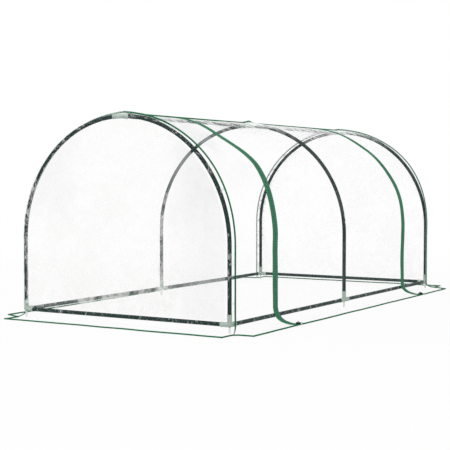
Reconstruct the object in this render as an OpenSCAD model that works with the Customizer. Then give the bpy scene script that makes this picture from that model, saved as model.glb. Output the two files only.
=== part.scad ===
// Low polytunnel greenhouse: three steel hoops on a base frame, pushed into plastic
// connectors, under a film cover with a zipped side panel and a skirt on the ground.
// Origin on the ground under the middle, length along Y, zipped side at +X.

/* [Frame] */
// Length of the frame over the end hoops
frame_length = 2000; // [1700:10:3000]
// Width of the frame over the side tubes
frame_width = 1000; // [800:10:1250]
// Height of the frame, from under the base tubes to the top of the ridge
frame_height = 800; // [660:10:1200]

/* [Tubes] */
// Outside diameter of the steel tubes
tube_d = 16; // [12:0.5:22]
// Wall of the steel tubes
tube_wall = 0.8; // [0.5:0.1:1.5]
// Straight length of an arc tube below its bend
arc_tail = 40; // [36:1:80]
// Length of the reduced end of a leg, inside the arc tube
spigot_length = 30; // [15:1:35]
// Play around the reduced end of a leg
spigot_play = 0.15; // [0.05:0.05:0.4]

/* [Connectors] */
// Wall of a sleeve
sleeve_wall = 1.1; // [1:0.1:3]
// Play between a tube and its sleeve
sleeve_play = 0.2; // [0.05:0.05:0.5]
// Reach of a sleeve from the middle of its connector
sleeve_reach = 38; // [30:1:70]
// Distance from the middle of a connector to the stop that a tube meets
sleeve_stop = 12; // [10:0.5:18]
// Height of the collar around the mouth of a sleeve
collar_height = 0.5; // [0.2:0.1:2]
// Width of the collar around the mouth of a sleeve
collar_width = 4; // [2:0.5:10]
// Difference in wall between a hoop sleeve and the ridge sleeve that ends in its side
sleeve_step = 0.3; // [0.2:0.1:0.6]
// Height of the foot under a base connector
foot_height = 23; // [4:1:40]
// Diameter of the foot under a base connector
foot_d = 8; // [5:0.5:16]

/* [Cover] */
// Thickness of the film
film_t = 1; // [0.5:0.1:2]
// Gap between the film and what carries it
film_gap = 0.3; // [0.1:0.1:1]
// Radius of the bend where a wall turns out onto the ground
skirt_bend = 30; // [12:1:60]
// Width of the flat skirt beyond the bend
skirt_width = 80; // [50:5:200]
// Distance from an end hoop back to the seam of the end sheet
seam_set_back = 20; // [14:1:60]
// Width of the piping on the seams
piping_w = 5; // [3:0.5:10]
// Height of the piping on the seams
piping_h = 3; // [1.5:0.5:6]
// Width of the binding on the hem
binding_w = 5; // [3:0.5:12]
// Thickness of the binding on the hem
binding_t = 4; // [1:0.1:5]

/* [Zips] */
// Distance between the two zips
zip_spacing = 1300; // [400:10:1450]
// Width of a zip's tape
zip_w = 38; // [20:1:60]
// Width of a zip's coil
coil_w = 6; // [4:0.5:8]
// Height of a zip's coil
coil_h = 2; // [1:0.5:4]
// Length of a slider along its zip
slider_length = 22; // [18:1:30]
// Width of a slider
slider_w = 16; // [12:0.5:20]
// Thickness of a slider over its coil
slider_t = 6; // [2:0.5:8]
// Play between a slider and its coil
slider_play = 0.3; // [0.1:0.1:0.6]
// Distance from the hem back to a slider
slider_inset = 2; // [1:0.5:20]
// Thickness of the wire of a slider's bridge
bridge_wire = 2.4; // [1.2:0.1:3]
// Radius of a slider's bridge
bridge_r = 5; // [3.5:0.1:6]
// Length of a slider's pull from its bridge to its tip
pull_length = 36; // [24:1:60]
// Width of a slider's pull
pull_w = 8; // [5:0.5:10]
// Thickness of a slider's pull
pull_t = 1.6; // [0.8:0.1:2]

/* [Hidden] */
$fn = 96;
ends = ["front", "back"];
sides = ["left", "right"];
rows = ["front", "middle", "back"];

sleeve_bore = tube_d + 2 * sleeve_play;
sleeve_d = sleeve_bore + 2 * sleeve_wall;
collar_d = sleeve_d + 2 * collar_height;

hoop_x = (frame_width - tube_d) / 2;
hoop_y = (frame_length - tube_d) / 2;
hoop_r = hoop_x;
base_z = foot_height + collar_d / 2;
ridge_z = base_z + frame_height - tube_d;
arch_z = ridge_z - hoop_r;
reach_angle = asin(sleeve_reach / hoop_r);
stop_angle = asin(sleeve_stop / hoop_r);
collar_angle = asin(collar_width / hoop_r);

film_in = hoop_x + collar_d / 2 + film_gap;
film_out = film_in + film_t;
end_in = hoop_y + collar_d / 2 + film_gap;
end_out = end_in + film_t;
bend_x = film_out + skirt_bend;
bend_y = end_out + skirt_bend;
bend_z = film_t + skirt_bend;
hem_x = bend_x + skirt_width;
hem_y = bend_y + skirt_width;
seam_y = hoop_y - seam_set_back;

zip_y = zip_spacing / 2;
coil_start = piping_w / 2 + film_gap;
coil_top = film_t + coil_h;
slider_x = hem_x - slider_inset - slider_length / 2;
slider_top = coil_top + slider_t;
pull_rise = slider_top + bridge_r / 2;
pull_rest = max(binding_t, film_t) + pull_t;
pull_tilt = asin((pull_rise - pull_rest) / pull_length);
eye_w = 2 * bridge_r + bridge_wire + 2 * slider_play;
eye_length = bridge_wire + 4 * slider_play;
pull_rim = 2;
// Overlap of cutting tools, so that no cut ends on a face
cut = 1;

tube_color = "#3c5250";
connector_color = "#b9c8be";
film_color = "#eef2f1";
trim_color = "#3e8a63";
zip_color = "#32674a";
slider_color = "#1f3a2c";

// Places by name: left and front are negative
function side_sign(side) = side == "left" ? -1 : 1;
function row_sign(row) = row == "front" ? -1 : row == "back" ? 1 : 0;

// A flat shape in X and Z, drawn out along Y from one place to another
module along_y(from, to) {
    translate([0, to, 0]) rotate([90, 0, 0]) linear_extrude(to - from) children();
}

// A flat shape swept along the hoop, by angles measured up from its right foot
module along_hoop(from, to) {
    translate([0, 0, arch_z]) rotate([90, 0, 0]) rotate([0, 0, from])
        rotate_extrude(angle = to - from) translate([hoop_r, 0]) children();
}

// The round section of a tube's wall
module tube_section() {
    difference() {
        circle(d = tube_d);
        circle(d = tube_d - 2 * tube_wall);
    }
}

// A straight tube along +Z from its lower end
module straight_tube(length) {
    linear_extrude(length) tube_section();
}

// Turns what points along +Z to point along +X, -X, +Y or -Y
module pointing(way) {
    turn = way == "+x" ? [0, 90, 0] : way == "-x" ? [0, -90, 0]
        : way == "+y" ? [-90, 0, 0] : way == "-y" ? [90, 0, 0] : [0, 0, 0];
    rotate(turn) children();
}

// The outside of a straight sleeve, with a collar around its mouth
module sleeve(width = sleeve_d) {
    cylinder(d = width, h = sleeve_reach);
    translate([0, 0, sleeve_reach - collar_width]) cylinder(d = collar_d, h = collar_width);
}

// The socket in a straight sleeve
module socket() {
    translate([0, 0, sleeve_stop]) cylinder(d = sleeve_bore, h = sleeve_reach - sleeve_stop + cut);
}

// Straight sleeves that meet in a round middle, with a socket in each
module straight_connector(ways) {
    difference() {
        union() {
            sphere(d = sleeve_d);
            for (way = ways) pointing(way) sleeve();
            children();
        }
        for (way = ways) pointing(way) socket();
    }
}

// The slim foot on which a base connector stands
module foot() {
    translate([0, 0, -base_z]) cylinder(d = foot_d, h = base_z);
}

// A base tube between two connectors, from the first one's middle
module base_tube(way, span) {
    color(tube_color) pointing(way) translate([0, 0, sleeve_stop])
        straight_tube(span - 2 * sleeve_stop);
}

module base_tube_across(end) {
    translate([-hoop_x, row_sign(end) * hoop_y, base_z]) base_tube("+x", 2 * hoop_x);
}

module base_tube_along(side, end) {
    translate([side_sign(side) * hoop_x, 0, base_z])
        base_tube(end == "front" ? "-y" : "+y", hoop_y);
}

module ridge_tube(end) {
    translate([0, 0, ridge_z]) base_tube(end == "front" ? "-y" : "+y", hoop_y);
}

// A straight leg whose top end is reduced to fit inside the arc tube
module leg(side, row) {
    foot_z = base_z + sleeve_stop;
    shoulder_z = arch_z - arc_tail;
    spigot_d = tube_d - 2 * tube_wall - 2 * spigot_play;
    color(tube_color) translate([side_sign(side) * hoop_x, row_sign(row) * hoop_y, 0]) {
        difference() {
            union() {
                translate([0, 0, foot_z]) cylinder(d = tube_d, h = shoulder_z - foot_z);
                translate([0, 0, shoulder_z]) cylinder(d = spigot_d, h = spigot_length);
            }
            translate([0, 0, foot_z - cut])
                cylinder(d = spigot_d - 2 * tube_wall, h = shoulder_z - foot_z + spigot_length + 2 * cut);
        }
    }
}

// A quarter of a hoop, bent from one tube, with a straight tail over the leg
module arc(side, row) {
    color(tube_color) mirror([side == "left" ? 1 : 0, 0, 0]) translate([0, row_sign(row) * hoop_y, 0]) {
        along_hoop(0, 90 - stop_angle) tube_section();
        translate([hoop_x, 0, arch_z - arc_tail]) straight_tube(arc_tail);
    }
}

// Three sleeves and a foot at a corner of the base
module corner(side, end) {
    color(connector_color)
        translate([side_sign(side) * hoop_x, row_sign(end) * hoop_y, base_z])
            straight_connector([
                side == "left" ? "+x" : "-x",
                end == "front" ? "+y" : "-y",
                "+z"
            ]) foot();
}

// Two sleeves along the side, one up and a foot, under the middle hoop
module base_tee(side) {
    color(connector_color) translate([side_sign(side) * hoop_x, 0, base_z])
        straight_connector(["-y", "+y", "+z"]) foot();
}

// Sleeves bent to the hoop on both sides of the ridge, and slimmer straight ones along it
module ridge_connector(row, ways) {
    color(connector_color) translate([0, row_sign(row) * hoop_y, 0]) difference() {
        union() {
            along_hoop(90 - reach_angle, 90 + reach_angle) circle(d = sleeve_d);
            for (turn = [-1, 1])
                along_hoop(
                    90 + turn * reach_angle - (turn > 0 ? collar_angle : 0),
                    90 + turn * reach_angle + (turn > 0 ? 0 : collar_angle)
                ) circle(d = collar_d);
            for (way = ways)
                translate([0, 0, ridge_z]) pointing(way) sleeve(sleeve_d - 2 * sleeve_step);
        }
        along_hoop(90 + stop_angle, 90 + reach_angle + stop_angle) circle(d = sleeve_bore);
        along_hoop(90 - reach_angle - stop_angle, 90 - stop_angle) circle(d = sleeve_bore);
        for (way = ways) translate([0, 0, ridge_z]) pointing(way) socket();
    }
}

// Sections of the cover in X and Z: a layer lies between two distances out from the film's inside
module arch_layer(near, far) {
    intersection() {
        translate([0, arch_z]) difference() {
            circle(r = film_in + far);
            circle(r = film_in + near);
        }
        translate([0, arch_z]) square(film_in + far + cut);
    }
}

module wall_layer(near, far) {
    translate([film_in + near, bend_z]) square([far - near, arch_z - bend_z]);
}

module bend_layer(near, far, out) {
    intersection() {
        translate([out + skirt_bend, bend_z]) difference() {
            circle(r = skirt_bend + film_t - near);
            circle(r = skirt_bend + film_t - far);
        }
        translate([out - film_t, 0]) square([skirt_bend + film_t, bend_z]);
    }
}

module flap_layer(near, far, from, to) {
    translate([from, near]) square([to - from, far - near]);
}

module upper_layer(near, far) {
    arch_layer(near, far);
    wall_layer(near, far);
}

module side_skirt_layer(near, far, reach) {
    bend_layer(near, far, film_out);
    flap_layer(near, far, bend_x, reach);
}

// Outline on the ground of the side skirt at +X, mitred along the bends at its ends
module side_skirt_plan() {
    flap_end = bend_y - binding_w;
    polygon([
        [film_in, -end_in], [bend_x, -bend_y], [bend_x, -flap_end], [hem_x - binding_w, -flap_end],
        [hem_x - binding_w, flap_end], [bend_x, flap_end], [bend_x, bend_y], [film_in, end_in]
    ]);
}

// Outline on the ground of the skirt at the front end
module end_skirt_plan() {
    flap_end = bend_x - binding_w;
    polygon([
        [-film_in, -end_in], [-bend_x, -bend_y], [-flap_end, -bend_y], [-flap_end, binding_w - hem_y],
        [flap_end, binding_w - hem_y], [flap_end, -bend_y], [bend_x, -bend_y], [film_in, -end_in]
    ]);
}

// Film over the +X side, from the ridge down to the hem
module side_sheet(from, to) {
    along_y(from, to) upper_layer(0, film_t);
    intersection() {
        along_y(from == -seam_y ? -bend_y : from, to == seam_y ? bend_y : to)
            side_skirt_layer(0, film_t, hem_x);
        linear_extrude(bend_z) side_skirt_plan();
    }
}

module left_sheet() {
    color(film_color) mirror([1, 0, 0]) side_sheet(-seam_y, seam_y);
}

module front_right_sheet() {
    color(film_color) side_sheet(-seam_y, -zip_y - zip_w / 2);
}

module door_panel() {
    color(film_color) side_sheet(-zip_y + zip_w / 2, zip_y - zip_w / 2);
}

module back_right_sheet() {
    color(film_color) side_sheet(zip_y + zip_w / 2, seam_y);
}

// Film over an end, turned over the hoop to the seam, with a skirt of its own
module end_sheet(end) {
    color(film_color) mirror([0, end == "back" ? 1 : 0, 0]) {
        along_y(-end_out, -end_in) {
            intersection() {
                translate([0, arch_z]) circle(r = film_out);
                translate([-film_out, arch_z]) square(2 * film_out);
            }
            translate([-film_out, bend_z]) square([2 * film_out, arch_z - bend_z]);
        }
        for (turn = [0, 1]) mirror([turn, 0, 0]) along_y(-end_in, -seam_y) upper_layer(0, film_t);
        intersection() {
            rotate([90, 0, -90]) linear_extrude(2 * bend_x, center = true) {
                bend_layer(0, film_t, end_out);
                flap_layer(0, film_t, bend_y, hem_y);
            }
            linear_extrude(bend_z) end_skirt_plan();
        }
    }
}

// A tape in the film's place from ridge to hem, with a coil along its middle
module zip(end) {
    color(zip_color) translate([0, row_sign(end) * zip_y, 0]) {
        along_y(-zip_w / 2, zip_w / 2) {
            upper_layer(0, film_t);
            side_skirt_layer(0, film_t, hem_x);
        }
        along_y(-coil_w / 2, coil_w / 2) {
            intersection() {
                upper_layer(film_t, coil_top);
                translate([coil_start, 0]) square(2 * ridge_z);
            }
            side_skirt_layer(film_t, coil_top, hem_x - slider_inset);
        }
    }
}

// Outline of a slider: a broad nose towards the hem and a round tail
module slider_outline() {
    translate([slider_length / 2 - slider_w / 2, 0]) circle(d = slider_w);
    translate([slider_w / 2 - slider_length / 2, 0]) circle(d = slider_w);
    translate([slider_w / 2 - slider_length / 2, -slider_w / 2])
        square([slider_length - slider_w, slider_w]);
}

// A body that straddles the coil, with a wire bridge on its back
module slider_body() {
    difference() {
        translate([0, 0, film_t]) linear_extrude(slider_top - film_t) slider_outline();
        translate([-slider_length, -coil_w / 2 - slider_play, 0])
            cube([2 * slider_length, coil_w + 2 * slider_play, coil_top + slider_play]);
    }
    translate([0, 0, slider_top]) rotate([90, 0, 0]) rotate_extrude(angle = 180)
        translate([bridge_r, 0]) circle(d = bridge_wire);
}

// A flat pull that hangs on the bridge by its eye and leans down to the hem
module slider_pull() {
    translate([0, 0, pull_rise]) rotate([-pull_tilt, 0, 0]) translate([0, 0, -pull_t / 2])
        linear_extrude(pull_t) difference() {
            union() {
                translate([-eye_w / 2 - pull_rim, -eye_length / 2 - pull_rim])
                    square([eye_w + 2 * pull_rim, eye_length + 2 * pull_rim]);
                translate([-pull_w / 2, 0]) square([pull_w, pull_length - pull_w / 2]);
                translate([0, pull_length - pull_w / 2]) circle(d = pull_w);
            }
            square([eye_w, eye_length], center = true);
        }
}

module slider(end) {
    color(slider_color) translate([slider_x, row_sign(end) * zip_y, 0]) {
        slider_body();
        slider_pull();
    }
}

// A bead on the seam between an end sheet and the sides, up over the arch
module seam_piping(end) {
    near = film_t + film_gap;
    color(trim_color) translate([0, row_sign(end) * seam_y, 0]) along_y(-piping_w / 2, piping_w / 2)
        for (turn = [0, 1]) mirror([turn, 0]) upper_layer(near, near + piping_h);
}

// A bead along the ridge, between the end seams
module ridge_piping() {
    near = film_t + film_gap;
    color(trim_color) along_y(piping_w / 2 - seam_y, seam_y - piping_w / 2) intersection() {
        for (turn = [0, 1]) mirror([turn, 0]) arch_layer(near, near + piping_h);
        translate([-piping_w / 2, arch_z]) square([piping_w, 2 * film_out]);
    }
}

// A strip around three edges of one flap, whose bend runs along Y at distance from
module flap_binding(from, to, half) {
    linear_extrude(binding_t) difference() {
        translate([from, -half]) square([to - from, 2 * half]);
        translate([from - cut, binding_w - half]) square([to - binding_w - from + cut, 2 * (half - binding_w)]);
    }
}

// Strips around the flaps, open where a zip runs out to the hem
module hem_binding() {
    color(trim_color) {
        mirror([1, 0, 0]) flap_binding(bend_x, hem_x, bend_y);
        for (turn = [-90, 90]) rotate([0, 0, turn]) flap_binding(bend_y, hem_y, bend_x);
        difference() {
            flap_binding(bend_x, hem_x, bend_y);
            for (end = ends)
                translate([bend_x, row_sign(end) * zip_y - zip_w / 2, -cut])
                    cube([skirt_width + cut, zip_w, binding_t + 2 * cut]);
        }
    }
}

for (end = ends) {
    base_tube_across(end);
    ridge_tube(end);
    ridge_connector(end, [end == "front" ? "+y" : "-y"]);
    end_sheet(end);
    zip(end);
    slider(end);
    seam_piping(end);
}
for (side = sides) {
    base_tee(side);
    for (end = ends) {
        base_tube_along(side, end);
        corner(side, end);
    }
    for (row = rows) {
        leg(side, row);
        arc(side, row);
    }
}
ridge_connector("middle", ["-y", "+y"]);  // ridge_cross
left_sheet();
front_right_sheet();
door_panel();
back_right_sheet();
ridge_piping();
hem_binding();
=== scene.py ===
# Low polytunnel greenhouse: a clear film cover with zips and green trim over a tube frame
import bpy
import bmesh
import math
from mathutils import Matrix, Vector, noise


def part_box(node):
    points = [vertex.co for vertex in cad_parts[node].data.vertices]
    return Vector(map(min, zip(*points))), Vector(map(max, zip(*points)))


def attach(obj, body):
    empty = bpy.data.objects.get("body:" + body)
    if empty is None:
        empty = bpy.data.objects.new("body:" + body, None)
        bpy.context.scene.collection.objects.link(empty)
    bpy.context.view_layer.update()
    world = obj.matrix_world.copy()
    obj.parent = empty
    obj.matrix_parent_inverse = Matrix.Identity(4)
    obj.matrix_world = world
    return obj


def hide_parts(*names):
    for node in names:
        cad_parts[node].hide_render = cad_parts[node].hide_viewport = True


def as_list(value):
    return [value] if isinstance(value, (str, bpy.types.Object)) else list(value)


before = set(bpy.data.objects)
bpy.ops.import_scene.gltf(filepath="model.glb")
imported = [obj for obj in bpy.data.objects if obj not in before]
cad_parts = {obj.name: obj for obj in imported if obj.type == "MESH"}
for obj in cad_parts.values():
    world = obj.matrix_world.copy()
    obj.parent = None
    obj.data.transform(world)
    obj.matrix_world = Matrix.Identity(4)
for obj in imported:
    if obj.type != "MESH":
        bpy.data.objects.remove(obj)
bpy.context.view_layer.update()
scene = bpy.context.scene
scene.view_settings.view_transform = "Standard"
scene.cycles.transparent_max_bounces = 24  # a sight line can cross many layers of film
print("frame loaded:", len(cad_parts), "nodes")


def boxMiddle(node):
    low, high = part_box(node)
    return (low + high) / 2


def lerp(a, b, t):
    return a + (b - a) * t


def smooth(t):
    t = min(max(t, 0.0), 1.0)
    return t * t * (3 - 2 * t)


def bell(t):
    return math.exp(-t ** 2)


# sizes that the frame gives, in metres; the film is drawn along the middle of its thickness
halfFilm = 0.0005
hoopX = abs(boxMiddle("base_tube_left_front").x)
hoopY = abs(boxMiddle("base_tube_front").y)
baseZ = boxMiddle("base_tube_front").z
ridgeZ = boxMiddle("ridge_tube_front").z
archZ = ridgeZ - hoopX
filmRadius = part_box("front_end_sheet")[1].z - archZ - halfFilm
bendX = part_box("front_end_sheet")[1].x
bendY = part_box("left_sheet")[1].y
bendRadius = bendX - filmRadius
bendZ = bendRadius + halfFilm
endY = bendY - bendRadius
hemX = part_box("hem_binding")[1].x
seamY = boxMiddle("back_seam_piping").y
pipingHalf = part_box("back_seam_piping")[1].y - seamY
zipY = boxMiddle("back_zip").y
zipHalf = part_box("back_zip")[1].y - zipY

# lengths along the cover, from the ridge down over the arch, the wall, the bend and the flap
archLength = filmRadius * math.pi / 2
wallEnd = archLength + archZ - bendZ
flapStart = wallEnd + bendRadius * math.pi / 2
coverEnd = flapStart + hemX - bendX
flapReach = coverEnd - flapStart


def hexColour(code):
    channels = [int(code[i:i + 2], 16) / 255 for i in (1, 3, 5)]
    linear = [c / 12.92 if c <= 0.04045 else ((c + 0.055) / 1.055) ** 2.4 for c in channels]
    return (*linear, 1.0)


def setInputs(tree, node, inputs):
    # inputs come in their order or under their names; a socket is linked, and a value is set
    pairs = inputs.items() if isinstance(inputs, dict) else enumerate(inputs)
    for key, value in pairs:
        if isinstance(value, bpy.types.NodeSocket):
            tree.links.new(value, node.inputs[key])
        else:
            node.inputs[key].default_value = value


def addNode(tree, kind, inputs=(), output=0, **settings):
    node = tree.nodes.new("ShaderNode" + kind)
    for name, value in settings.items():
        setattr(node, name, value)
    setInputs(tree, node, inputs)
    return node.outputs[output]


def newFinish(name):
    material = bpy.data.materials.new(name)
    material.use_nodes = True
    tree = material.node_tree
    return material, tree, tree.nodes["Principled BSDF"]


# powder-coated steel: a thick satin skin, slate green, with slow changes of tone along each tube, small
# pale scuffs from fitting, and an orange peel that is drawn coarser than life so that it shows
tubeFinish = {
    "colour": "#142A28", "paleColour": "#213B37", "toneLength": 0.09,
    "scuffColour": "#6F877E", "scuffSize": 0.007, "scuffSpan": (0.66, 0.74),
    "peelSize": 0.0016, "peelStrength": 0.12, "peelDepth": 0.0003,
    "roughness": (0.34, 0.52), "ior": 1.5, "specular": 0.12,
}


def powderCoatedSteel():
    look = tubeFinish
    material, tree, shader = newFinish("powder_coated_steel")
    place = addNode(tree, "TexCoord", output="Object")
    tone = addNode(tree, "TexNoise", {"Vector": place, "Scale": 1 / look["toneLength"], "Detail": 3})
    scuff = addNode(tree, "TexNoise", {"Vector": place, "Scale": 1 / look["scuffSize"], "Detail": 4})
    peel = addNode(tree, "TexNoise", {"Vector": place, "Scale": 1 / look["peelSize"], "Detail": 2})
    scuffed = addNode(tree, "MapRange", (scuff, *look["scuffSpan"]))
    body = addNode(tree, "Mix", {0: tone, 6: hexColour(look["colour"]), 7: hexColour(look["paleColour"])},
                   2, data_type="RGBA")
    worn = addNode(tree, "Mix", {0: scuffed, 6: body, 7: hexColour(look["scuffColour"])},
                   2, data_type="RGBA")
    bump = addNode(tree, "Bump", {
        "Height": peel, "Strength": look["peelStrength"], "Distance": look["peelDepth"]})
    gloss = addNode(tree, "MapRange", (tone, 0.0, 1.0, *look["roughness"]))
    setInputs(tree, shader, {"Base Color": worn, "Roughness": gloss, "Normal": bump,
                             "IOR": look["ior"], "Specular IOR Level": look["specular"]})
    return material


# moulded polypropylene: pale waxy grey green that lets a little light into its edges, with its slim feet
# painted near white, a painted light that stands in for light through the thin plastic, and with a faint
# cloudiness and a grain from the mould that is drawn coarser than life so that it shows
connectorFinish = {
    "colour": "#9EB1A6", "paleColour": "#B9C8BF", "cloudSize": 0.02,
    "paintedFootLightColour": "#F8FBF9", "paintedFootLightBelow": (0.010, 0.012),
    "grainSize": 0.0012, "grainStrength": 0.15, "grainDepth": 0.0003,
    "roughness": (0.42, 0.58), "ior": 1.49, "specular": 0.4, "glow": 0.2, "glowDepth": 0.003,
}


def mouldedPolypropylene():
    look = connectorFinish
    material, tree, shader = newFinish("moulded_polypropylene")
    place = addNode(tree, "TexCoord", output="Object")
    height = addNode(tree, "SeparateXYZ", (place,), "Z")
    cloud = addNode(tree, "TexNoise", {"Vector": place, "Scale": 1 / look["cloudSize"], "Detail": 3})
    grain = addNode(tree, "TexNoise", {"Vector": place, "Scale": 1 / look["grainSize"], "Detail": 2})
    # painted light: the slim feet below the base tubes go near white, standing in for light through the thin
    # plastic
    paintedFootLight = addNode(tree, "MapRange", (height, *(baseZ - drop for drop in look["paintedFootLightBelow"])))
    body = addNode(tree, "Mix", {0: cloud, 6: hexColour(look["colour"]), 7: hexColour(look["paleColour"])},
                   2, data_type="RGBA")
    body = addNode(tree, "Mix", {0: paintedFootLight, 6: body, 7: hexColour(look["paintedFootLightColour"])}, 2, data_type="RGBA")
    bump = addNode(tree, "Bump", {
        "Height": grain, "Strength": look["grainStrength"], "Distance": look["grainDepth"]})
    gloss = addNode(tree, "MapRange", (cloud, 0.0, 1.0, *look["roughness"]))
    setInputs(tree, shader, {"Base Color": body, "Roughness": gloss, "Normal": bump,
                             "IOR": look["ior"], "Specular IOR Level": look["specular"],
                             "Subsurface Weight": look["glow"], "Subsurface Scale": look["glowDepth"]})
    return material


# calendered vinyl film: nearly clear, and whiter where it is seen at a slant, which is a painted reflection
# of the white surroundings. Where it lies on a tube or on the ground it is clearest, with painted glints:
# pale streaks standing in for light off creases that run along the tube. The ends are hazier, and the front
# end more than the back, which is painted light, as the two ends are the same film. Beside the front hoop and
# on the shoulder next to it the film is painted greyer, a painted shade.
# A span holds where a change starts and stops, then its two levels where they aren't 0 and 1, and a zone
# holds a span for each way that bounds it.
filmFinish = {
    "side": {"colour": "#F4F7F6", "haze": (0.016, 0.060), "streaks": (0.010, 0.50),
             "onHoop": (0.020, 0.008), "stray": 0.0},
    # the front end gets more haze than the back end: painted light, the lit face of the same film
    "front": {"colour": "#FAFBFA", "haze": (0.10, 0.58), "streaks": (0.012, 0.50),
              "onHoop": (0.0165, 0.0100), "stray": 0.008},
    "back": {"colour": "#FAFBFA", "haze": (0.02, 0.20), "streaks": (0.012, 0.50),
             "onHoop": (0.0165, 0.0100), "stray": 0.008},
    "roughness": 0.22, "ior": 1.53,
    "mottleSize": 0.034, "cloudSize": 0.24, "hazeSpan": (0.87, 1.15),
    "creaseSize": 0.028, "creaseStrength": 0.3, "creaseDepth": 0.002,
    "paintedGlintSize": 0.0095, "paintedGlintLength": 3.0, "paintedGlintSpan": (0.575, 0.755),
    "paintedGlintPatch": (0.35, 0.65, -0.065, 0.065),
    "paintedReflectionPower": 13.0, "paintedReflectionGain": 3.2, "paintedReflectionMost": 0.85, "paintedReflectionPatch": (0.35, 0.65, 0.3, 1.6),
    "onBase": (0.020, 0.010), "onGround": (0.006, 0.030, 0.12, 1.0),
    "moreGlintsZone": {"x": (-0.24, -0.44), "z": (0.08, 0.42, 0.0, 0.13)},
    "paintedShadeColour": "#D4D8D6", "paintedShadeEven": (0.0, 0.42, 0.0, 0.75),
    "paintedShadeRight": {"x": (0.18, 0.38), "z": (0.30, 0.62, 0.42, 1.0)},
    "paintedShadeLeft": {"x": (-0.10, -0.36), "z": (0.34, 0.52, 0.0, 0.42)},
    "paintedShadeShoulder": {"x": (0.05, 0.17), "z": (0.50, 0.68), "y": (-0.60, -0.88),
                     "cloud": (0.38, 0.58, 0.4, 1.2)},
    "paintedShadeHaze": (0.0, 1.0, 0.0, 0.30),
}


def filmZone(tree, spots, zone, change="SMOOTHSTEP"):
    level = 1.0
    for way, span in zone.items():
        step = addNode(tree, "MapRange", (spots[way], *span), interpolation_type=change)
        level = addNode(tree, "Math", (level, step), operation="MULTIPLY")
    return level


def filmAtHoops(tree, kind, spots):
    # how far the film is inside the middle line of a hoop, and where its painted crease glints are read,
    # drawn out along it
    shorten = 1 / filmFinish["paintedGlintLength"]
    if kind == "side":
        fromMiddle = addNode(tree, "Math", (spots["y"],), operation="ABSOLUTE")
        fromEnd = addNode(tree, "Math", (fromMiddle, hoopY), operation="SUBTRACT")
        fromEnd = addNode(tree, "Math", (fromEnd,), operation="ABSOLUTE")
        inside = addNode(tree, "Math", (fromMiddle, fromEnd), operation="MINIMUM")
        stretch = (shorten, 1.0, shorten)
        return inside, addNode(tree, "VectorMath", (spots["place"], stretch), operation="MULTIPLY")
    overArch = addNode(tree, "Math", (spots["z"], archZ), operation="SUBTRACT")
    overArch = addNode(tree, "Math", (overArch, 0.0), operation="MAXIMUM")
    reach = addNode(tree, "CombineXYZ", (spots["x"], overArch))
    reach = addNode(tree, "VectorMath", (reach,), "Value", operation="LENGTH")
    inside = addNode(tree, "Math", (hoopX, reach), operation="SUBTRACT")
    turn = addNode(tree, "Math", (spots["x"], overArch), operation="ARCTAN2")
    turn = addNode(tree, "Math", (turn, hoopX * shorten), operation="MULTIPLY")
    down = addNode(tree, "Math", (spots["z"], shorten), operation="MULTIPLY")
    return inside, addNode(tree, "CombineXYZ", (turn, down, reach))


def filmOnTubes(tree, kind, spots):
    # where the film lies on the hoops and the base tubes, and its painted glints there: pale streaks standing
    # in for light off creases
    look = filmFinish[kind]
    inside, glintPlace = filmAtHoops(tree, kind, spots)
    glintNoise = addNode(tree, "TexNoise", {"Vector": glintPlace, "Scale": 1 / filmFinish["paintedGlintSize"],
                                        "Detail": 3, "Distortion": 0.8})
    # the film strays off the hoop in streaks, and the left shoulder of an end is given more painted glints
    stray = addNode(tree, "MapRange", (glintNoise, 0.0, 1.0, look["stray"], -look["stray"]))
    inside = addNode(tree, "Math", (inside, stray), operation="ADD")
    if kind != "side":
        loose = filmZone(tree, spots, filmFinish["moreGlintsZone"], "LINEAR")
        glintNoise = addNode(tree, "Math", (glintNoise, loose), operation="ADD")
    patch = addNode(tree, "MapRange", (spots["mottle"], *filmFinish["paintedGlintPatch"]),
                    interpolation_type="SMOOTHSTEP")
    glintNoise = addNode(tree, "Math", (glintNoise, patch), operation="ADD")
    offBase = addNode(tree, "Math", (spots["z"], baseZ), operation="SUBTRACT")
    offBase = addNode(tree, "Math", (offBase,), operation="ABSOLUTE")
    onHoop = addNode(tree, "MapRange", (inside, *look["onHoop"]), interpolation_type="SMOOTHSTEP")
    onBase = addNode(tree, "MapRange", (offBase, *filmFinish["onBase"]), interpolation_type="SMOOTHSTEP")
    contact = addNode(tree, "Math", (onHoop, onBase), operation="MAXIMUM")
    return contact, addNode(tree, "MapRange", (glintNoise, *filmFinish["paintedGlintSpan"], *look["streaks"]))


def filmHaze(tree, kind, spots):
    # the haze away from the tubes, and where the film is painted greyer as painted shade
    look = filmFinish[kind]
    uneven = addNode(tree, "Math", (spots["mottle"], spots["cloud"]), operation="ADD")
    haze = addNode(tree, "MapRange", (uneven, *filmFinish["hazeSpan"], *look["haze"]))
    if kind == "back":
        return haze, 0.0
    if kind == "side":
        paintedShade = filmZone(tree, spots, filmFinish["paintedShadeShoulder"])
        more = addNode(tree, "MapRange", (paintedShade, *filmFinish["paintedShadeHaze"]), interpolation_type="SMOOTHSTEP")
        return addNode(tree, "Math", (haze, more), operation="ADD"), paintedShade
    zones = [filmZone(tree, spots, filmFinish[name]) for name in ("paintedShadeRight", "paintedShadeLeft")]
    paintedShade = addNode(tree, "Math", zones, operation="MAXIMUM")
    even = addNode(tree, "MapRange", (paintedShade, *filmFinish["paintedShadeEven"]), interpolation_type="SMOOTHSTEP")
    return addNode(tree, "Mix", {0: even, 2: haze, 3: sum(look["haze"]) / 2}), paintedShade


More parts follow.
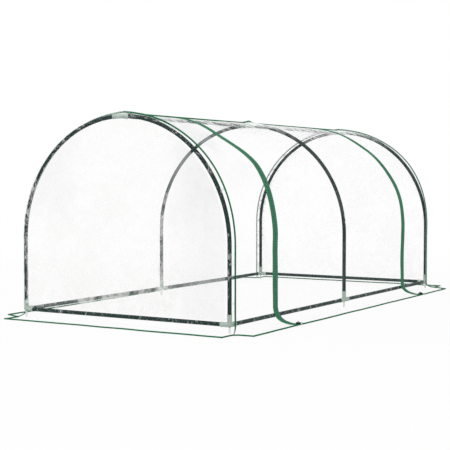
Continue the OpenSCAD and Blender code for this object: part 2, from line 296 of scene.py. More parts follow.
# painted reflection: at a slant the film gets more of its white colour, standing in for the reflection of the
# white surroundings
def filmPaintedReflection(tree, spots):
    slant = addNode(tree, "LayerWeight", {"Blend": 0.5}, "Facing")
    slant = addNode(tree, "Math", (slant, filmFinish["paintedReflectionPower"]), operation="POWER")
    slant = addNode(tree, "Math", (slant, filmFinish["paintedReflectionGain"]), operation="MULTIPLY")
    patch = addNode(tree, "MapRange", (spots["mottle"], *filmFinish["paintedReflectionPatch"]))
    slant = addNode(tree, "Math", (slant, patch), operation="MULTIPLY")
    return addNode(tree, "Math", (slant, filmFinish["paintedReflectionMost"]), operation="MINIMUM")


def clearVinylFilm(kind):
    material, tree, shader = newFinish("clear_vinyl_film_" + kind)
    place = addNode(tree, "TexCoord", output="Object")
    spots = dict(zip("xyz", addNode(tree, "SeparateXYZ", (place,)).node.outputs))
    spots["place"] = place
    spots["mottle"] = addNode(tree, "TexNoise", {"Vector": place, "Scale": 1 / filmFinish["mottleSize"],
                                                 "Detail": 4, "Distortion": 0.6})
    spots["cloud"] = addNode(tree, "TexNoise", {"Vector": place, "Scale": 1 / filmFinish["cloudSize"],
                                                "Detail": 2})
    crease = addNode(tree, "TexNoise", {"Vector": place, "Scale": 1 / filmFinish["creaseSize"],
                                        "Detail": 4, "Distortion": 0.8})
    # painted glints where the film lies on the tubes, and painted shade beside the front hoop and on the
    # shoulder
    contact, streaks = filmOnTubes(tree, kind, spots)
    haze, paintedShade = filmHaze(tree, kind, spots)
    alpha = addNode(tree, "Mix", {0: contact, 2: haze, 3: streaks})
    alpha = addNode(tree, "Math", (alpha, filmPaintedReflection(tree, spots)), operation="MAXIMUM")
    offGround = addNode(tree, "MapRange", (spots["z"], *filmFinish["onGround"]))
    alpha = addNode(tree, "Math", (alpha, offGround), operation="MULTIPLY")
    # painted shade: the film's colour goes towards a grey in the painted shade zones
    body = addNode(tree, "Mix", {0: paintedShade, 6: hexColour(filmFinish[kind]["colour"]),
                                 7: hexColour(filmFinish["paintedShadeColour"])}, 2, data_type="RGBA")
    bump = addNode(tree, "Bump", {"Height": crease, "Strength": filmFinish["creaseStrength"],
                                  "Distance": filmFinish["creaseDepth"]})
    setInputs(tree, shader, {"Base Color": body, "Alpha": alpha, "Normal": bump,
                             "Roughness": filmFinish["roughness"], "IOR": filmFinish["ior"]})
    return material


# woven polyester tape: matt, with a fade in places and ribs across it, which are drawn coarser than life so
# that they show, and are read along the strip from its UV map
tapeFinish = {
    "ribPitch": 0.01005, "ribStrength": 0.4, "ribDepth": 0.0003, "fadeSize": 0.05,
    "roughness": 0.80, "specular": 0.12,
}
waveTurn = 20  # radians that the wave texture turns through in one unit of its vector


def wovenTape(name, colour, paleColour):
    look = tapeFinish
    material, tree, shader = newFinish(name)
    strip = addNode(tree, "TexCoord", output="UV")
    place = addNode(tree, "TexCoord", output="Object")
    ribScale = math.tau / waveTurn / look["ribPitch"]
    ribs = addNode(tree, "TexWave", {"Vector": strip, "Scale": ribScale, "Distortion": 0.4},
                   1, bands_direction="Y")
    fade = addNode(tree, "TexNoise", {"Vector": place, "Scale": 1 / look["fadeSize"], "Detail": 4})
    pale = addNode(tree, "Math", (ribs, fade), operation="MULTIPLY")
    body = addNode(tree, "Mix", {0: pale, 6: hexColour(colour), 7: hexColour(paleColour)},
                   2, data_type="RGBA")
    bump = addNode(tree, "Bump", {
        "Height": ribs, "Strength": look["ribStrength"], "Distance": look["ribDepth"]})
    setInputs(tree, shader, {"Base Color": body, "Normal": bump, "Roughness": look["roughness"],
                             "Specular IOR Level": look["specular"]})
    return material


# drawn nylon coil, sewing thread and welded film edge: smooth, a little glossy, with an uneven dye
smoothFinish = {"dyeSize": 0.012, "roughness": 0.38, "ior": 1.53, "specular": 0.4}


def dyedPlastic(name, colour, paleColour):
    look = smoothFinish
    material, tree, shader = newFinish(name)
    place = addNode(tree, "TexCoord", output="Object")
    dye = addNode(tree, "TexNoise", {"Vector": place, "Scale": 1 / look["dyeSize"], "Detail": 3})
    body = addNode(tree, "Mix", {0: dye, 6: hexColour(colour), 7: hexColour(paleColour)}, 2, data_type="RGBA")
    setInputs(tree, shader, {"Base Color": body, "Roughness": look["roughness"],
                             "IOR": look["ior"], "Specular IOR Level": look["specular"]})
    return material


# painted zinc casting: nearly black green, satin, with the paint rubbed thin in places
sliderFinish = {
    "colour": "#122F1E", "wornColour": "#305842", "wornSize": 0.004, "wornSpan": (0.62, 0.72),
    "roughness": (0.38, 0.58), "specular": 0.05,
}


def paintedZinc():
    look = sliderFinish
    material, tree, shader = newFinish("painted_zinc_casting")
    place = addNode(tree, "TexCoord", output="Object")
    wear = addNode(tree, "TexNoise", {"Vector": place, "Scale": 1 / look["wornSize"], "Detail": 4})
    worn = addNode(tree, "MapRange", (wear, *look["wornSpan"]))
    body = addNode(tree, "Mix", {0: worn, 6: hexColour(look["colour"]), 7: hexColour(look["wornColour"])},
                   2, data_type="RGBA")
    gloss = addNode(tree, "MapRange", (wear, 0.0, 1.0, *look["roughness"]))
    setInputs(tree, shader, {"Base Color": body, "Roughness": gloss, "Specular IOR Level": look["specular"]})
    return material


steelFinish = powderCoatedSteel()
plasticFinish = mouldedPolypropylene()
sideFilmFinish = clearVinylFilm("side")
endFilmFinish = {-1: clearVinylFilm("front"), 1: clearVinylFilm("back")}
zipFrontTape = wovenTape("woven_zip_tape_green", "#2C7C52", "#44986D")
zipBackTape = wovenTape("woven_zip_tape_grey_green", "#47725E", "#588672")
bindingFinish = wovenTape("woven_polyester_binding", "#176640", "#2B8055")
pipingFinish = wovenTape("woven_piping_cover", "#1A6B44", "#3C8F66")
seamFinish = dyedPlastic("welded_film_edge", "#8C9491", "#A3ABA8")
coilFinish = dyedPlastic("drawn_nylon_coil", "#235F42", "#357355")
threadFinish = dyedPlastic("sewing_thread", "#2E6B4B", "#4A8A68")
castingFinish = paintedZinc()
print("finishes made:", len(bpy.data.materials))


# the tubes, connectors and sliders keep their shapes from the frame
def keptFinish(nodeName):
    if nodeName.startswith(("base_tube", "leg_", "arc_", "ridge_tube")):
        return steelFinish
    if nodeName.startswith(("corner_", "base_tee", "ridge_tee", "ridge_cross")):
        return plasticFinish
    return castingFinish if nodeName.endswith("_slider") else None


for nodeName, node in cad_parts.items():
    if keptFinish(nodeName):
        node.data.materials.clear()
        node.data.materials.append(keptFinish(nodeName))

# how the film hangs between the hoops: hollow on the shoulders, full below them, with small waves all over.
# Heights on the arch are degrees above level, and a wave has its height, its turns per metre along both ways
# of the film, and a seed
coverForm = {
    "sagIn": 0.021, "sagInAt": 60, "sagInSpread": 17, "sagInBack": 0.5,
    "sagOut": 0.0105, "sagOutAt": (35, 18), "sagOutSpread": 12.5, "sagOutBack": 0.7,
    "wallIn": 0.007, "wallInBelow": 22, "wallFoot": 0.005, "wallFootLength": 0.045, "bayPower": 0.8,
    "loose": 0.011, "looseAt": 36, "looseSpread": 24, "looseLength": 0.14,
    "zipBendOut": 0.084, "zipBendUp": 0.050, "zipBendSpread": 0.070,
    "ridgeDip": 0.0022, "ridgePeak": 0.007, "peakLength": 0.07, "peakWidth": 0.05, "peakPower": 1.5,
    "broadWave": {"height": 0.0024, "turns": ((7, 0), (0, 5)), "seed": 3.1},
    "fineWave": {"height": 0.0010, "turns": ((16, 9), (-6, 22)), "seed": 7.7},
    "sideFlapWave": {"height": 0.0022, "turns": ((9, 0), (0, 8)), "seed": 12.3},
    "endFlapWave": {"height": 0.0022, "turns": ((8, 0), (0, 9)), "seed": 20.5},
    "calmLength": 0.10, "calmFoot": 0.02, "calmFootLength": 0.03, "flapCalm": 0.02,
    "edgeRound": 0.010,
    "pull": 0.9, "pullFrom": 0.25, "pullStop": 0.40, "pullLength": 1.0,
    "slant": {(-1, -1): 0.032, (1, -1): 0.012, (-1, 1): 0.032, (1, 1): 0.060}, "slantLength": 0.20,
}
slopeStep = 0.001  # how far to each side a point is taken, to find which way the film runs


def profileAt(s, bendOut=bendRadius, bendUp=bendRadius):
    # x, z and the way out of the film at length s, with its bend onto the ground as an ellipse
    bendStart = wallEnd - bendUp + bendRadius
    bendStop = flapStart + bendOut - bendRadius
    if s < archLength:
        c, n = math.cos(s / filmRadius), math.sin(s / filmRadius)
        return filmRadius * n, archZ + filmRadius * c, n, c
    if s < bendStart:
        return filmRadius, archZ + archLength - s, 1.0, 0.0
    if s < bendStop:
        turn = math.pi / 2 * (s - bendStart) / (bendStop - bendStart)
        c, n = math.cos(turn), math.sin(turn)
        tilt = math.hypot(c / bendOut, n / bendUp)
        return (filmRadius + bendOut * (1 - c), halfFilm + bendUp * (1 - n),
                c / bendOut / tilt, n / bendUp / tilt)
    return bendX + s - flapStart, halfFilm, 0.0, 1.0


def bendAt(p, y):
    # the stiff tapes of the zips turn onto the ground in a wider bend
    near = bell((abs(y) - zipY) / coverForm["zipBendSpread"]) if p > 0 else 0.0
    return lerp(bendRadius, coverForm["zipBendOut"], near), lerp(bendRadius, coverForm["zipBendUp"], near)


def hoopGap(y):
    return min(abs(y), abs(abs(y) - hoopY))


def sagAt(p, y):
    s = abs(p)
    elevation = 90 - math.degrees(s / filmRadius)
    bay = abs(math.sin(math.pi * y / hoopY)) ** coverForm["bayPower"]
    # the back half is drawn tighter than the front half
    toBack = smooth(0.5 + y / hoopY)
    hollow = bell((elevation - coverForm["sagInAt"]) / coverForm["sagInSpread"])
    hollow *= coverForm["sagIn"] * lerp(1.0, coverForm["sagInBack"], toBack)
    full = bell((elevation - lerp(*coverForm["sagOutAt"], toBack)) / coverForm["sagOutSpread"])
    full *= coverForm["sagOut"] * lerp(1.0, coverForm["sagOutBack"], toBack)
    wall = smooth(1 - elevation / coverForm["wallInBelow"]) * (1 - toBack)
    wall *= smooth((wallEnd + coverForm["wallFoot"] - s) / coverForm["wallFootLength"])
    across = bay * (full - hollow - coverForm["wallIn"] * wall)
    if p > 0:
        # the sheet stands off the back hoop at its right shoulder
        shoulder = bell((elevation - coverForm["looseAt"]) / coverForm["looseSpread"])
        across += coverForm["loose"] * shoulder * smooth(1 - abs(seamY - y) / coverForm["looseLength"])
    tent = max(0.0, 1 - hoopGap(y) / coverForm["peakLength"]) ** coverForm["peakPower"]
    overRidge = bell(s / coverForm["peakWidth"])
    return across + overRidge * (coverForm["ridgePeak"] * tent - coverForm["ridgeDip"] * (1 - tent))


def ripple(wave, a, b, shift=0):
    (aFirst, bFirst), (aSecond, bSecond) = wave["turns"]
    spot = Vector((a * aFirst + b * bFirst, a * aSecond + b * bSecond, wave["seed"] + shift))
    return wave["height"] * noise.noise(spot)


def flapRipple(wave, a, b, out, shift=0):
    # a flap lies on the ground, so its waves only rise, and they grow from the bend outwards
    return smooth(out / coverForm["flapCalm"]) * (wave["height"] + ripple(wave, a, b, shift)) / 2


def waveAt(p, y):
    s = abs(p)
    calm = smooth(hoopGap(y) / coverForm["calmLength"]) * smooth(s / coverForm["calmLength"])
    calm *= 1 - smooth((s - wallEnd + coverForm["calmFoot"]) / coverForm["calmFootLength"])
    waves = ripple(coverForm["broadWave"], p, y) + ripple(coverForm["fineWave"], p, y)
    return calm * waves + flapRipple(coverForm["sideFlapWave"], p, y, s - flapStart)


def pullAt(out, share):
    # the skirt is drawn in at the front left corner, where its bend is tight
    return coverForm["pull"] * min(max(out, 0.0), bendRadius) * smooth(share)


def slantAt(side, s, y):
    # the ends of the side flaps are cut at a slant, shorter at the hem
    end = 1 if y > 0 else -1
    out = max(s - flapStart, 0.0) / flapReach
    return end * coverForm["slant"][side, end] * out * smooth(1 - (bendY - abs(y)) / coverForm["slantLength"])


def coverPoint(p, y, lift=0.0):
    # p runs over the cover from the left hem, through 0 at the ridge, to the right hem
    side = 1 if p >= 0 else -1
    s = min(abs(p), coverEnd)
    x, z, nx, nz = profileAt(s, *bendAt(p, y))
    if side < 0:
        x -= pullAt(x - filmRadius, (coverForm["pullStop"] - y) / coverForm["pullLength"])
    out = sagAt(p, y) + waveAt(p, y) + lift
    return Vector((side * (x + nx * out), y - slantAt(side, s, y), z + nz * out))


def coverFrame(p, y, lift=0.0):
    # a point of the cover, the way across and the way up from it
    along = (coverPoint(p + slopeStep, y) - coverPoint(p - slopeStep, y)).normalized()
    across = Vector((0, 1, 0))
    return coverPoint(p, y, lift), across, along.cross(across).normalized()


def seamLine(s):
    # the seam runs straight down the arch and the wall, then out over the bend to the notch in the skirt
    turn = min(max((s - wallEnd) / (flapStart - wallEnd), 0.0), 1.0) * math.pi / 2
    return lerp(seamY, bendY, 1 - math.cos(turn))


coverSteps = {"arch": 80, "wall": 30, "bend": 10, "flap": 12}
coverStops = [(0.0, 0)]
for stop, steps in zip((archLength, wallEnd, flapStart, coverEnd), coverSteps.values()):
    coverStops.append((stop, coverStops[-1][1] + steps))
stationCount = coverStops[-1][1]


def stationAt(t):
    # t from 0 to 1 in even steps of the grid, closer together in the bend
    index = t * stationCount
    for (s0, i0), (s1, i1) in zip(coverStops, coverStops[1:]):
        if index <= i1:
            return lerp(s0, s1, (index - i0) / (i1 - i0))
    return coverEnd


def facesAt(verts):
    return {face for vert in verts for face in vert.link_faces}


def mapGrid(bm, across, along, place, uvSize=(1.0, 1.0), materialIndex=0):
    made = bmesh.ops.create_grid(bm, x_segments=across, y_segments=along, size=0.5)["verts"]
    uvLayer = bm.loops.layers.uv.verify()
    for face in facesAt(made):
        face.smooth = True
        face.material_index = materialIndex
        for loop in face.loops:
            spot = loop.vert.co
            loop[uvLayer].uv = ((spot.x + 0.5) * uvSize[0], (spot.y + 0.5) * uvSize[1])
    for vert in made:
        vert.co = place(vert.co.x + 0.5, vert.co.y + 0.5)
    return made


weldGap = 1e-6  # points closer than this are one


def sweepStrip(bm, path, section, halfWidth, halfHeight, steps, length, materialIndex=0):
    # a closed strip or cord with rounded edges; path gives its middle, the way across and the way up
    def place(u, w):
        middle, across, up = path(w)
        c, n = math.cos(math.tau * u), math.sin(math.tau * u)
        q = math.copysign(abs(c) ** section["squareness"], c) * halfWidth
        h = math.copysign(abs(n) ** section["squareness"], n) * halfHeight
        return middle + across * q + up * h

    made = mapGrid(bm, section["around"], steps, place, (4 * halfWidth, length), materialIndex)
    bmesh.ops.remove_doubles(bm, verts=made, dist=weldGap)
    made = [vert for vert in made if vert.is_valid]
    rims = {edge for vert in made for edge in vert.link_edges if edge.is_boundary}
    bmesh.ops.holes_fill(bm, edges=list(rims), sides=0)


def addDash(bm, middle, across, up, size, materialIndex):
    turn = Matrix((across.cross(up), across, up)).transposed().to_4x4()
    shape = Matrix.Translation(middle) @ turn @ Matrix.Diagonal((*size, 1.0))
    for face in facesAt(bmesh.ops.create_cube(bm, size=1.0, matrix=shape)["verts"]):
        face.material_index = materialIndex


def makePiece(name, bm, materials, nodes=()):
    mesh = bpy.data.meshes.new(name)
    bm.to_mesh(mesh)
    bm.free()
    for material in materials:
        mesh.materials.append(material)
    piece = bpy.data.objects.new(name, mesh)
    scene.collection.objects.link(piece)
    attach(piece, "root")
    if nodes:
        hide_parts(*nodes)
    return piece


# the long sides: one sheet on the left, three on the right with the zips between them
sheetForm = {"step": 0.010, "underTape": 0.004, "ridgeGap": 1e-6}
frontZipEdges = (-zipY - zipHalf, -zipY + zipHalf)
backZipEdges = (zipY - zipHalf, zipY + zipHalf)
tuck = sheetForm["underTape"]
sideSheets = {
    "left_sheet": (-1, None, None),
    "front_right_sheet": (1, None, frontZipEdges[0] + tuck),
    "door_panel": (1, frontZipEdges[1] - tuck, backZipEdges[0] + tuck),
    "back_right_sheet": (1, backZipEdges[1] - tuck, None),
}


def sideSheet(name, side, start, stop):
    def edges(s):
        return (-seamLine(s) if start is None else start, seamLine(s) if stop is None else stop)

    def place(u, w):
        s = stationAt(u)
        return coverPoint(side * max(s, sheetForm["ridgeGap"]), lerp(*edges(s), w))

    upper, flap = edges(0.0), edges(coverEnd)
    upperLength, flapLength = upper[1] - upper[0], flap[1] - flap[0]
    bm = bmesh.new()
    mapGrid(bm, stationCount, round(upperLength / sheetForm["step"]), place, (coverEnd, upperLength))
    if side < 0:
        bmesh.ops.reverse_faces(bm, faces=bm.faces)
    piece = makePiece(name + "_film", bm, [sideFilmFinish], [name])
    bendLength = flapStart - wallEnd
    area = wallEnd * upperLength + bendLength * (upperLength + flapLength) / 2 + flapReach * flapLength
    return piece, (coverEnd, flapLength), area


films = {}
for sheetName, (sheetSide, sheetStart, sheetStop) in sideSheets.items():
    films[sheetName] = sideSheet(sheetName, sheetSide, sheetStart, sheetStop)
print("side sheets made:", len(films))

# the ends: a flat panel that turns over the hoop to the seam, with its own bend and flap
endForm = {
    "columns": 110, "upperRows": 84, "bendRows": 10, "flapRows": 8, "turnRows": 8,
    "slack": {"height": 0.004, "turns": ((3.2, 0), (0, 2.6)), "seed": 31.0},
    "tension": {"height": 0.0016, "turns": ((13, 5), (-3, 6)), "seed": 41.0},
    "calmEdge": 0.10, "weldGap": 1e-5,
}
edgeRound = coverForm["edgeRound"]
wallRows = endForm["upperRows"] + endForm["bendRows"]
endRows = wallRows + endForm["flapRows"]


def cornerPull(end, x, out):
    share = (-x - coverForm["pullFrom"]) / (filmRadius - coverForm["pullFrom"])
    return pullAt(out, share) if end < 0 else 0.0


def endFlapPoint(end, x, d):
    rise = flapRipple(coverForm["endFlapWave"], x, d, d, end)
    return Vector((x + cornerPull(end, x, bendRadius), end * (bendY + d), halfFilm + rise))


def endBend(t):
    # x, y and z of the bend's corner, and how round the edge still is there
    turn = t * math.pi / 2
    corner = bendRadius * math.cos(turn)
    return bendX - corner, bendY - corner, bendZ - bendRadius * math.sin(turn), edgeRound * (1 - t) ** 2


def endPanelPoint(end, u, v):
    theta = (u - 0.5) * math.pi
    sweep = math.sin(theta)
    row = v * endRows
    if row <= endForm["upperRows"]:
        inner = filmRadius - edgeRound
        x = inner * sweep
        z = lerp(archZ + inner * math.cos(theta), bendZ, row / endForm["upperRows"])
        toHoop = inner - math.hypot(x, max(z - archZ, 0.0))
        calm = smooth(toHoop / endForm["calmEdge"]) * smooth((z - bendZ) / endForm["calmEdge"])
        waves = ripple(endForm["slack"], x, z, end) + ripple(endForm["tension"], x, z, end)
        return Vector((x, end * (endY + calm * waves), z))
    row -= endForm["upperRows"]
    if row <= endForm["bendRows"]:
        cornerX, cornerY, z, rounding = endBend(row / endForm["bendRows"])
        x = sweep * (cornerX - rounding)
        return Vector((x + cornerPull(end, x, cornerX - filmRadius), end * cornerY, z))
    return endFlapPoint(end, sweep * bendX, flapReach * (row - endForm["bendRows"]) / endForm["flapRows"])


def archTurnPoint(end, u, v):
    theta = (u - 0.5) * math.pi
    if v <= 0.5:
        turn = v * math.pi
        radius = filmRadius - edgeRound * (1 - math.sin(turn))
        y = endY - edgeRound * (1 - math.cos(turn))
        return Vector((radius * math.sin(theta), end * y, archZ + radius * math.cos(theta)))
    return coverPoint(theta * filmRadius, end * lerp(endY - edgeRound, seamY, v * 2 - 1))


def wallTurnPoint(end, side, u, v):
    row = u * wallRows - endForm["upperRows"]
    if row <= 0:
        s = lerp(wallEnd, archLength, -row / endForm["upperRows"])
        cornerX, cornerY, z, rounding = filmRadius, endY, profileAt(s)[1], edgeRound
    else:
        t = row / endForm["bendRows"]
        s = lerp(wallEnd, flapStart, t)
        cornerX, cornerY, z, rounding = endBend(t)
    if v <= 0.5:
        turn = v * math.pi
        x = side * (cornerX - rounding * (1 - math.sin(turn)))
        x += cornerPull(end, x, cornerX - filmRadius)
        return Vector((x, end * (cornerY - rounding * (1 - math.cos(turn))), z))
    return coverPoint(side * s, end * lerp(cornerY - rounding, seamLine(s), v * 2 - 1))


def endSheet(name, end):
    bm = bmesh.new()
    wallHeight, turnWidth = archZ - bendZ, endY - seamY
    bendLength = bendRadius * math.pi / 2
    height = filmRadius + wallHeight + bendLength + flapReach
    mapGrid(bm, endForm["columns"], endRows, lambda u, v: endPanelPoint(end, u, v), (2 * filmRadius, height))
    mapGrid(bm, endForm["columns"], endForm["turnRows"], lambda u, v: archTurnPoint(end, u, v),
            (math.pi * filmRadius, turnWidth))
    for side in (-1, 1):
        mapGrid(bm, wallRows, endForm["turnRows"], lambda u, v: wallTurnPoint(end, side, u, v),
                (wallHeight, turnWidth))
    bmesh.ops.remove_doubles(bm, verts=bm.verts, dist=endForm["weldGap"])
    bmesh.ops.dissolve_degenerate(bm, edges=bm.edges, dist=weldGap)
    bmesh.ops.recalc_face_normals(bm, faces=bm.faces)
    piece = makePiece(name + "_film", bm, [endFilmFinish[end]], [name])
    area = math.pi * filmRadius ** 2 / 2 + 2 * filmRadius * wallHeight
    area += (math.pi * filmRadius + 2 * wallHeight) * turnWidth
    area += (filmRadius + bendX) * bendLength + 2 * bendX * flapReach
    return piece, (2 * (filmRadius + turnWidth), turnWidth + height), area


films["front_end_sheet"] = endSheet("front_end_sheet", -1)
films["back_end_sheet"] = endSheet("back_end_sheet", 1)
print("end sheets made")

# zips: two tapes of different green side by side, a coil of teeth between them and sewing along both
zipForm = {
    "section": {"around": 16, "squareness": 0.35}, "steps": 260, "ridgeGap": 0.0005,
    "over": 0.0015, "tapeHalfHeight": 0.0008, "coilGap": 0.0004, "lift": 0.0011,
    "fromRidge": 0.004, "toHem": 0.012,
    "toothPitch": 0.0030, "tooth": (0.0017, 0.0036, 0.0020), "toothReach": 0.0010, "toothLift": 0.0018,
    "stitchPitch": 0.0060, "stitch": (0.0040, 0.0007, 0.0007), "stitchInset": 0.0025,
}
zipFinishes = [zipFrontTape, zipBackTape, coilFinish, threadFinish]


def makeZip(name, y):
    bm = bmesh.new()
    tapeHalf = (zipHalf + zipForm["over"] - zipForm["coilGap"]) / 2
    for index, side in enumerate((-1, 1)):
        tapeY = y + side * (zipForm["coilGap"] + tapeHalf)

        def path(w):
            return coverFrame(max(stationAt(w), zipForm["ridgeGap"]), tapeY, zipForm["lift"])

        sweepStrip(bm, path, zipForm["section"], tapeHalf, zipForm["tapeHalfHeight"],
                   zipForm["steps"], coverEnd, index)
    first, last = pipingHalf + zipForm["fromRidge"], coverEnd - zipForm["toHem"]
    for i in range(int((last - first) / zipForm["toothPitch"])):
        reach = zipForm["toothReach"] * (1 if i % 2 else -1)
        spot = coverFrame(first + i * zipForm["toothPitch"], y + reach, zipForm["toothLift"])
        addDash(bm, *spot, zipForm["tooth"], zipFinishes.index(coilFinish))
    onTape = zipForm["lift"] + zipForm["tapeHalfHeight"]
    for i in range(int((last - first) / zipForm["stitchPitch"])):
        for side in (-1, 1):
            row = y + side * (zipHalf - zipForm["stitchInset"])
            spot = coverFrame(first + i * zipForm["stitchPitch"], row, onTape)
            addDash(bm, *spot, zipForm["stitch"], zipFinishes.index(threadFinish))
    bmesh.ops.recalc_face_normals(bm, faces=bm.faces)
    return makePiece(name + "_tape", bm, zipFinishes, [name])


zips = [makeZip("front_zip", -zipY), makeZip("back_zip", zipY)]
print("zips made:", len(zips))

# piping: a covered cord along the end seams and the ridge, welded to the film underneath
pipingForm = {
    "section": {"around": 12, "squareness": 1.0}, "steps": 420, "weldBelow": 0.2,
    "seamRadius": 0.0032, "seamLift": 0.0030, "ridgeRadius": 0.0033, "ridgeLift": 0.0046,
}


def makePiping(name, path, radius, length, underside, node):
    bm = bmesh.new()
    sweepStrip(bm, path, pipingForm["section"], radius, radius, pipingForm["steps"], length)
    uvLayer = bm.loops.layers.uv.verify()
    for face in bm.faces:
        around = sum(loop[uvLayer].uv.x for loop in face.loops) / len(face.loops) / (4 * radius)
        face.material_index = 1 if math.sin(math.tau * around) < pipingForm["weldBelow"] else 0
    bmesh.ops.recalc_face_normals(bm, faces=bm.faces)
    return makePiece(name, bm, [pipingFinish, underside], [node])


def seamPiping(name, end, underside, node):
    def path(w):
        p = lerp(-flapStart, flapStart, w)
        return coverFrame(p, end * seamLine(abs(p)), pipingForm["seamLift"])

    return makePiping(name, path, pipingForm["seamRadius"], 2 * flapStart, underside, node)


def ridgePath(w):
    y = lerp(-seamY, seamY, w)
    along = (coverPoint(0, y + slopeStep) - coverPoint(0, y - slopeStep)).normalized()
    across = Vector((1, 0, 0))
    return coverPoint(0, y, pipingForm["ridgeLift"]), across, across.cross(along).normalized()


frontPiping = seamPiping("front_seam_cord", -1, pipingFinish, "front_seam_piping")
backPiping = seamPiping("back_seam_cord", 1, seamFinish, "back_seam_piping")
ridgePiping = makePiping("ridge_cord", ridgePath, pipingForm["ridgeRadius"], 2 * seamY,
                         pipingFinish, "ridge_piping")
print("piping made")

# binding: a folded strip over the edges of the flaps, sewn near its inner edge, open at the zips
bindingForm = {
    "section": {"around": 12, "squareness": 0.5}, "step": 0.010, "fewestSteps": 8, "lookAhead": 0.001,
    "half": 0.0034, "halfHeight": 0.0025, "lift": 0.0018,
    "stitchPitch": 0.0065, "stitch": (0.0042, 0.0007, 0.0007), "stitchInset": 0.0012,
}
bindingFinishes = [bindingFinish, threadFinish]


def bindEdge(bm, start, stop, onFlap, length):
    # start and stop are places on a flap, and onFlap gives the point at a place
    def spotAt(w):
        return onFlap(lerp(start[0], stop[0], w), lerp(start[1], stop[1], w))

    def path(w):
        here = spotAt(w)
        along = (spotAt(w + bindingForm["lookAhead"]) - here).normalized()
        up = Vector((0, 0, 1))
        return here + up * bindingForm["lift"], up.cross(along).normalized(), up

    steps = max(bindingForm["fewestSteps"], round(length / bindingForm["step"]))
    sweepStrip(bm, path, bindingForm["section"], bindingForm["half"], bindingForm["halfHeight"],
               steps, length)
    count = int(length / bindingForm["stitchPitch"])
    for i in range(count):
        middle, across, up = path((i + 0.5) / count)
        spot = middle + across * bindingForm["stitchInset"] + up * bindingForm["halfHeight"]
        addDash(bm, spot, across, up, bindingForm["stitch"], bindingFinishes.index(threadFinish))


def makeHemBinding():
    bm = bmesh.new()
    inset = bindingForm["half"]
    outer, sideEnd = coverEnd - inset, bendY - inset
    endOuter, endSide = flapReach - inset, bendX - inset
    for side in (-1, 1):
        def onSideFlap(s, y):
            return coverPoint(side * s, y)

        runs = [(-bendY, bendY)]
        if side > 0:
            runs = [(-bendY, frontZipEdges[0]), (frontZipEdges[1], backZipEdges[0]), (backZipEdges[1], bendY)]
        for y0, y1 in runs:
            bindEdge(bm, (outer, y0), (outer, y1), onSideFlap, y1 - y0)
        for end in (-1, 1):
            bindEdge(bm, (flapStart, end * sideEnd), (coverEnd, end * sideEnd), onSideFlap, flapReach)
    for end in (-1, 1):
        def onEndFlap(x, d):
            return endFlapPoint(end, x, d)

        bindEdge(bm, (-bendX, endOuter), (bendX, endOuter), onEndFlap, 2 * bendX)
        for side in (-1, 1):
            bindEdge(bm, (side * endSide, 0.0), (side * endSide, flapReach), onEndFlap, flapReach)
    bmesh.ops.recalc_face_normals(bm, faces=bm.faces)
    return makePiece("hem_strip", bm, bindingFinishes, ["hem_binding"])


hemStrip = makeHemBinding()
print("hem binding made")

# the trim pieces that go with each sheet; each sheet's cut size before it was stretched over the frame is
# kept with its film
sheetTrim = {
    "left_sheet": [ridgePiping, hemStrip], "front_right_sheet": [zips[0]], "back_right_sheet": [zips[1]],
    "front_end_sheet": [frontPiping], "back_end_sheet": [backPiping],
}
for sheetName, (film, flat, area) in films.items():
    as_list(sheetTrim.get(sheetName, []))


def raysSeen(tree):
    # 1 for what the camera sees, straight, in a gloss or through glass, and 0 for the light on the object
    rays = addNode(tree, "LightPath").node.outputs
    seen = 0.0
    for ray in ("Is Camera Ray", "Is Glossy Ray", "Is Transmission Ray"):
        seen = addNode(tree, "Math", (seen, rays[ray]), operation="MAXIMUM")
    return seen


# a wide pale floor that shows as white: mostly so near the tunnel, where it keeps a soft shadow, and fully
# so farther off
floorLook = {"half": 30.0, "drop": 0.0008, "colour": "#E2E2E0", "white": (1.3, 4.0, 0.92, 1.0)}


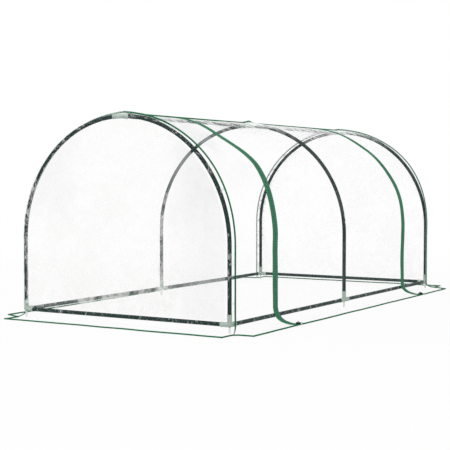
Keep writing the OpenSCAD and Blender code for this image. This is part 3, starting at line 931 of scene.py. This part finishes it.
def makeFloor():
    bm = bmesh.new()
    bmesh.ops.create_grid(bm, x_segments=1, y_segments=1, size=floorLook["half"])
    bmesh.ops.translate(bm, verts=bm.verts, vec=(0, 0, -floorLook["drop"]))
    mesh = bpy.data.meshes.new("floor")
    bm.to_mesh(mesh)
    bm.free()
    floor = bpy.data.objects.new("floor", mesh)
    scene.collection.objects.link(floor)
    material, tree, shader = newFinish("matt_white_paper")
    tree.nodes.remove(shader)
    place = addNode(tree, "TexCoord", output="Object")
    away = addNode(tree, "VectorMath", (place,), "Value", operation="LENGTH")
    white = addNode(tree, "MapRange", (away, *floorLook["white"]))
    white = addNode(tree, "Math", (white, raysSeen(tree)), operation="MULTIPLY")
    paper = addNode(tree, "BsdfDiffuse", {"Color": hexColour(floorLook["colour"])})
    glow = addNode(tree, "Emission", {"Color": (1, 1, 1, 1), "Strength": 1.0})
    surface = addNode(tree, "MixShader", (white, paper, glow))
    setInputs(tree, tree.nodes["Material Output"], {"Surface": surface})
    mesh.materials.append(material)


makeFloor()

# even white surroundings and one large soft lamp from the front left
lightLook = {
    "surround": 0.89, "lampPower": 90, "lampSize": 4.0,
    "lampPlace": (-1.6, -3.0, 5.0), "lampAim": (0, 0, 0.3),
}


def makeLight():
    world = bpy.data.worlds.new("white_surround")
    scene.world = world
    world.use_nodes = True
    tree = world.node_tree
    level = addNode(tree, "MapRange", (raysSeen(tree), 0.0, 1.0, lightLook["surround"], 1.0))
    setInputs(tree, tree.nodes["Background"], {"Color": (1, 1, 1, 1), "Strength": level})
    lamp = bpy.data.lights.new("soft_box", "AREA")
    lamp.energy = lightLook["lampPower"]
    lamp.size = lightLook["lampSize"]
    lampObject = bpy.data.objects.new("soft_box", lamp)
    scene.collection.objects.link(lampObject)
    lampObject.location = lightLook["lampPlace"]
    aim = Vector(lightLook["lampAim"]) - lampObject.location
    lampObject.rotation_euler = aim.to_track_quat("-Z", "Y").to_euler()


makeLight()

# camera as in the photograph, for a square picture
cameraLook = {"x": 2.6023, "y": -4.5126, "overBase": 0.5488, "yaw": 31.175, "pitch": 2.493,
              "lens": 89.2, "sensor": 36.0, "farthest": 200}
camera = bpy.data.cameras.new("camera")
camera.lens = cameraLook["lens"]
camera.sensor_width = cameraLook["sensor"]
camera.clip_end = cameraLook["farthest"]
cameraObject = bpy.data.objects.new("camera", camera)
scene.collection.objects.link(cameraObject)
cameraObject.location = (cameraLook["x"], cameraLook["y"], baseZ + cameraLook["overBase"])
cameraObject.rotation_euler = (math.radians(90 - cameraLook["pitch"]), 0, math.radians(cameraLook["yaw"]))
scene.camera = cameraObject
print("floor, light and camera set")
